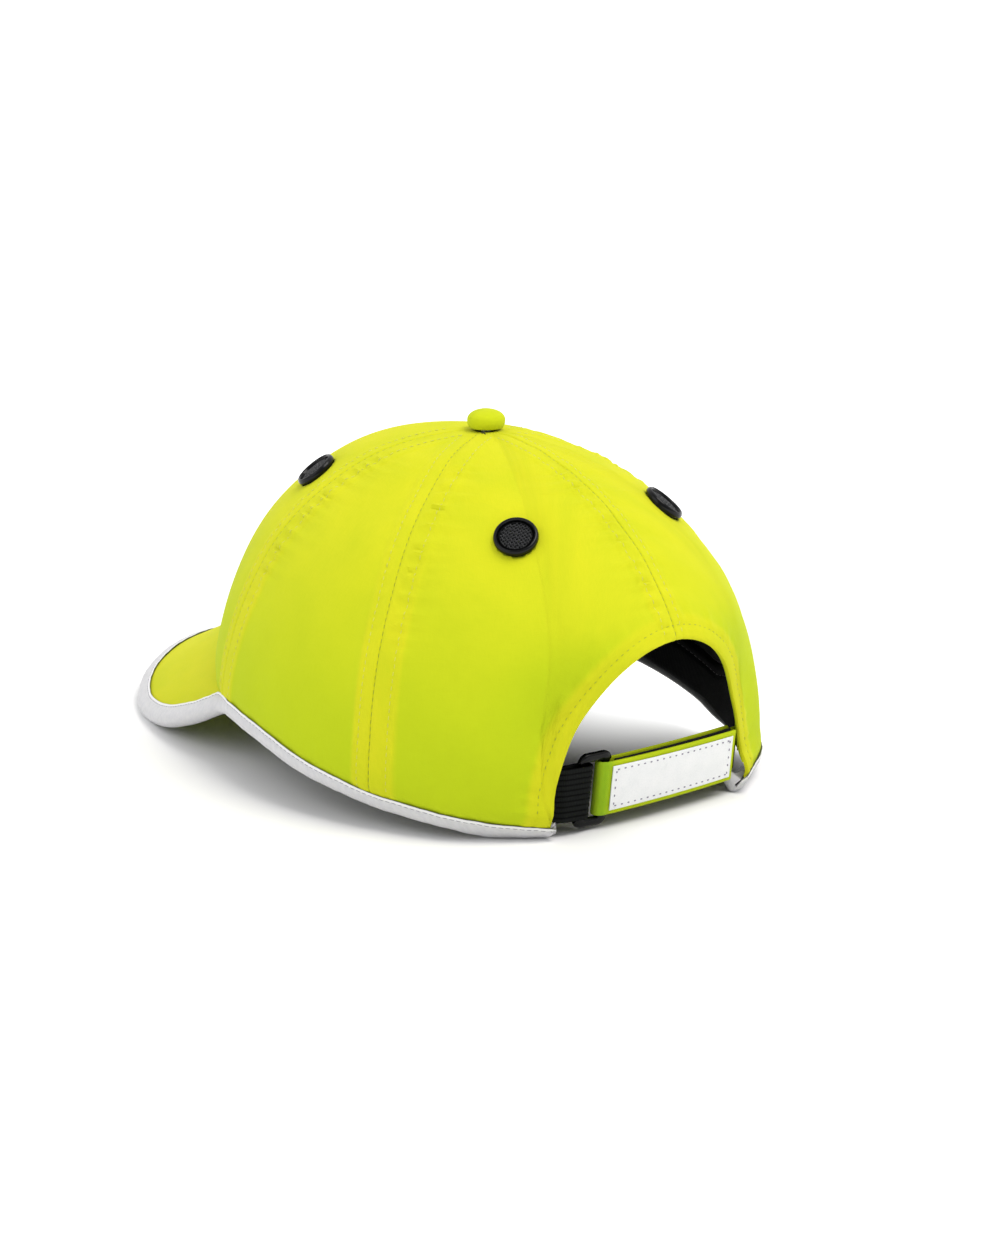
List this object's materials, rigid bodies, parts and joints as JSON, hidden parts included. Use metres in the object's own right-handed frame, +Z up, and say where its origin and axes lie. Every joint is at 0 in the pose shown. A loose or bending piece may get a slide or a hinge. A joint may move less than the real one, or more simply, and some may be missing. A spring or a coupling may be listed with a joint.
{
  "type": "bump cap",
  "caption": "Fabric bump cap with a hard inner shell, bent peak, mesh eyelets and an adjustable hook-and-loop rear strap.",
  "frame": {"origin": "on the surface the cap stands on, under the middle of the whole cap's outline", "axes": "+Z up, -Y towards the peak's tip, +X towards the wearer's left"},
  "size_m": [0.1788, 0.272, 0.1295],
  "materials": {
    "crown_fabric": "matt woven polyester, fluorescent yellow",
    "peak_lining": "matt woven polyester, fluorescent yellow",
    "lining": "matt black knit",
    "foam": "matt black foam",
    "reflective_tape": "satin silver-white",
    "shell_plastic": "satin black",
    "eyelet_plastic": "satin black",
    "eyelet_mesh": "satin black",
    "peak_board": "matt",
    "webbing": "ribbed black elastic",
    "hook_and_loop": "matt black pile",
    "buckle_plastic": "glossy black",
    "rivet_metal": "satin"
  },
  "bodies": {
    "root": {"button_shank": "rivet_metal", "crown_button": "crown_fabric", "crown_pad": "foam", "edge_binding_left": "reflective_tape", "edge_binding_right": "reflective_tape", "elastic_web": "webbing", "eyelet_mesh_front_left": "eyelet_mesh", "eyelet_mesh_front_right": "eyelet_mesh", "eyelet_mesh_rear_left": "eyelet_mesh", "eyelet_mesh_rear_right": "eyelet_mesh", "eyelet_ring_front_left": "eyelet_plastic", "eyelet_ring_front_right": "eyelet_plastic", "eyelet_ring_rear_left": "eyelet_plastic", "eyelet_ring_rear_right": "eyelet_plastic", "eyelet_washer_front_left": "eyelet_plastic", "eyelet_washer_front_right": "eyelet_plastic", "eyelet_washer_rear_left": "eyelet_plastic", "eyelet_washer_rear_right": "eyelet_plastic", "front_pad": "foam", "front_panel": "crown_fabric", "inner_shell": "shell_plastic", "loop_patch": "hook_and_loop", "opening_facing": "crown_fabric", "peak_binding": "reflective_tape", "peak_board": "peak_board", "peak_top_cover": "crown_fabric", "peak_under_cover": "peak_lining", "rear_pad": "foam", "rear_panel_left": "crown_fabric", "rear_panel_right": "crown_fabric", "seam_tape_front_left": "lining", "seam_tape_front_right": "lining", "seam_tape_rear": "lining", "seam_tape_side_left": "lining", "seam_tape_side_right": "lining", "side_pad_left": "foam", "side_pad_right": "foam", "side_panel_left": "crown_fabric", "side_panel_right": "crown_fabric", "strap_inner": "crown_fabric", "sweatband": "lining"},
    "buckle": {"buckle": "buckle_plastic"},
    "tail": {"strap_tail": "crown_fabric", "hook_patch": "hook_and_loop", "reflective_patch": "reflective_tape"}
  },
  "joints": [
    {"name": "tail_peel", "type": "hinge", "parent": "root", "child": "tail", "pos_m": [0.0209, 0.1255, 0.0148], "axis": [0, 0, -1], "range_deg": [0, 150]},
    {"name": "buckle_rock", "type": "hinge", "parent": "root", "child": "buckle", "pos_m": [0.0251, 0.12196, 0.0148], "axis": [0, 0, 1], "range_deg": [-6, 6]}
  ]
}
